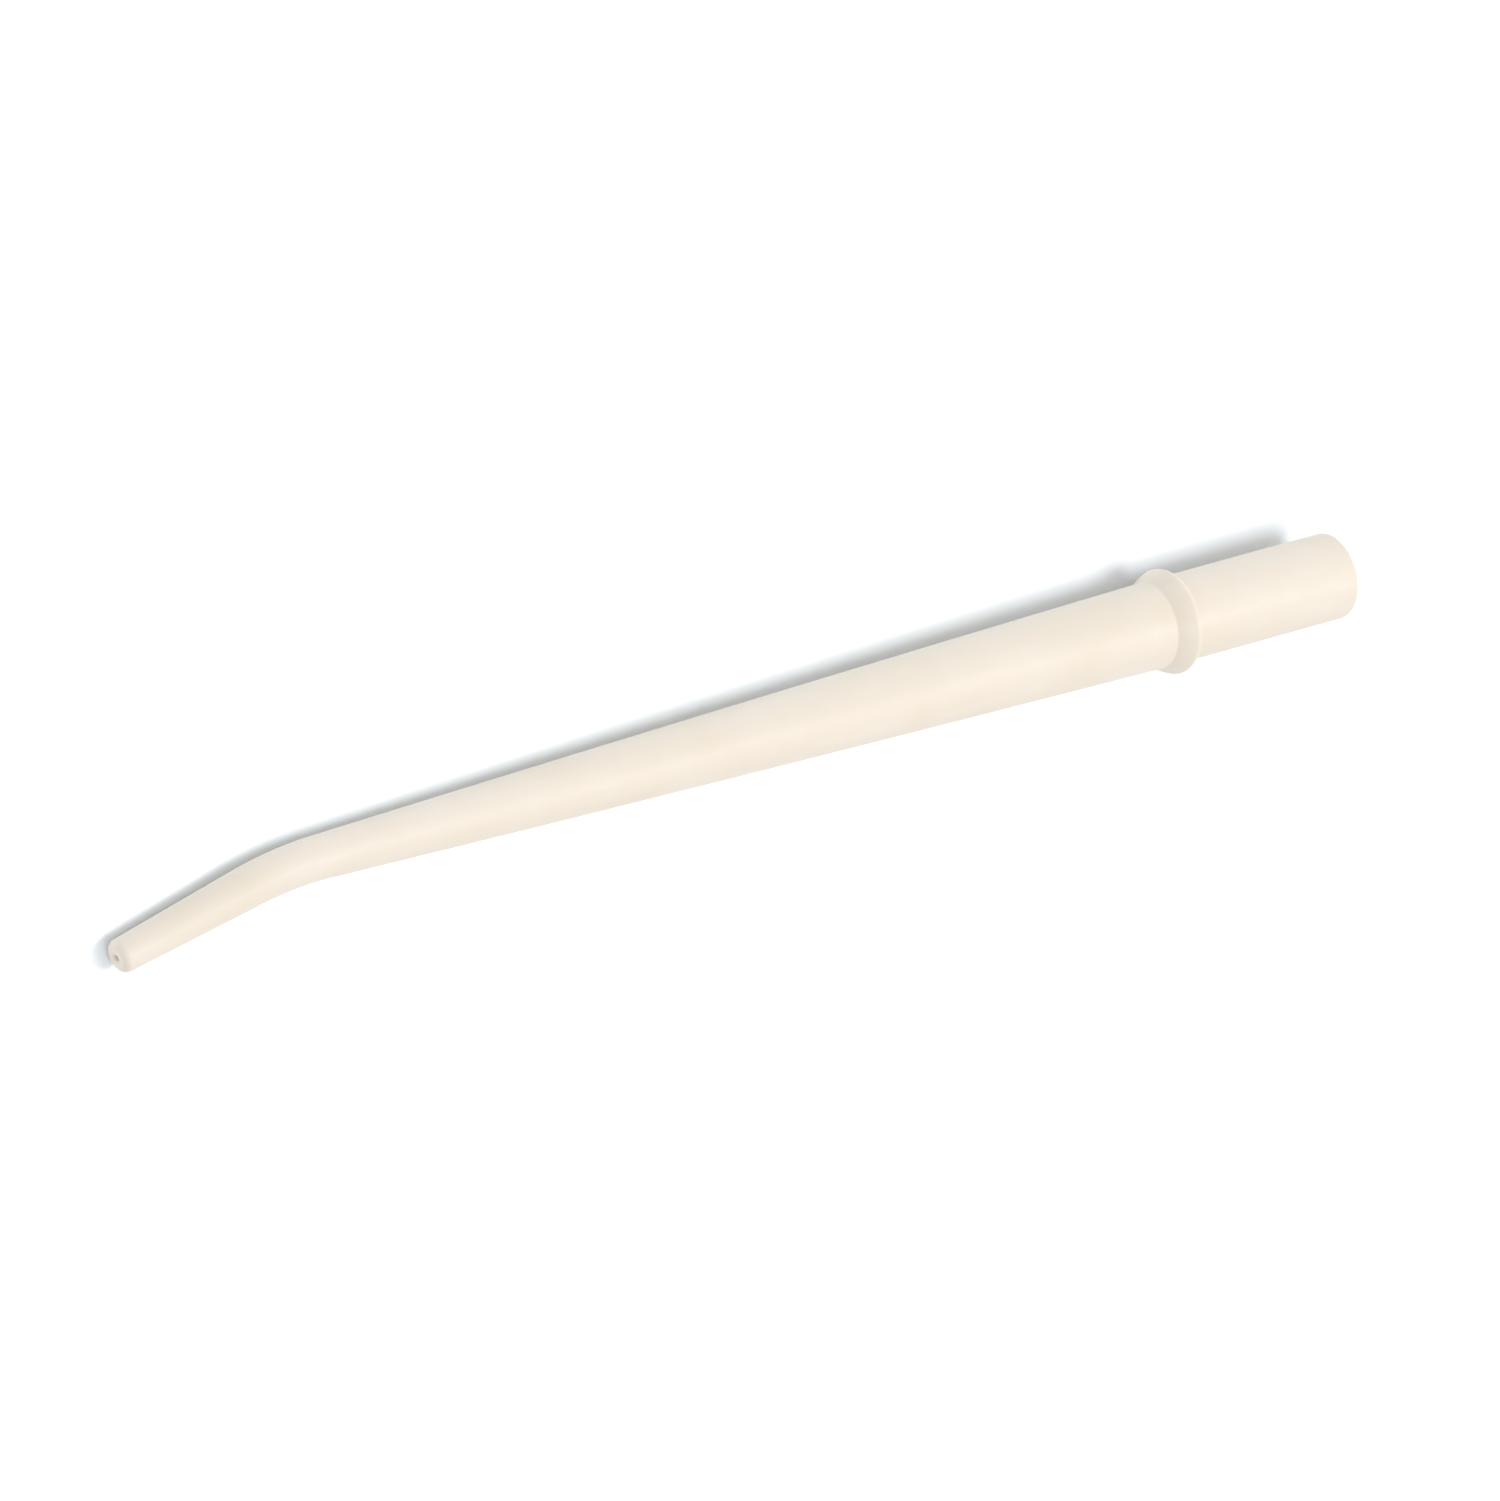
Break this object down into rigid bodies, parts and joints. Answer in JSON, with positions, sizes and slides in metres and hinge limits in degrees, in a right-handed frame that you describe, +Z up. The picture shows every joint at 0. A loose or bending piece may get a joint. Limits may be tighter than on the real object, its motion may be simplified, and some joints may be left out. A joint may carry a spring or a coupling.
{
  "type": "surgical suction tip",
  "caption": "Slim hollow surgical suction tip in cream plastic: a plain connector sleeve, a stop ring, a long tapered barrel and a gently bent nozzle with a small hole in its rounded end",
  "frame": {"origin": "middle of the footprint, on the surface that the tip lies on", "axes": "+Z up; +X along the tip from the open sleeve to the suction end; the nozzle bends towards +Y. The tip lies as it rests on a table, on its ring and along its nozzle, so its barrel slopes 1.7 degrees down towards +X."},
  "size_m": [0.1856, 0.0142, 0.0134],
  "materials": {
    "ivory_plastic": "satin moulded"
  },
  "bodies": {
    "root": {"connector_sleeve": "ivory_plastic", "stop_ring": "ivory_plastic", "tapered_barrel": "ivory_plastic", "bent_neck": "ivory_plastic", "nozzle": "ivory_plastic", "suction_end": "ivory_plastic"}
  },
  "joints": []
}
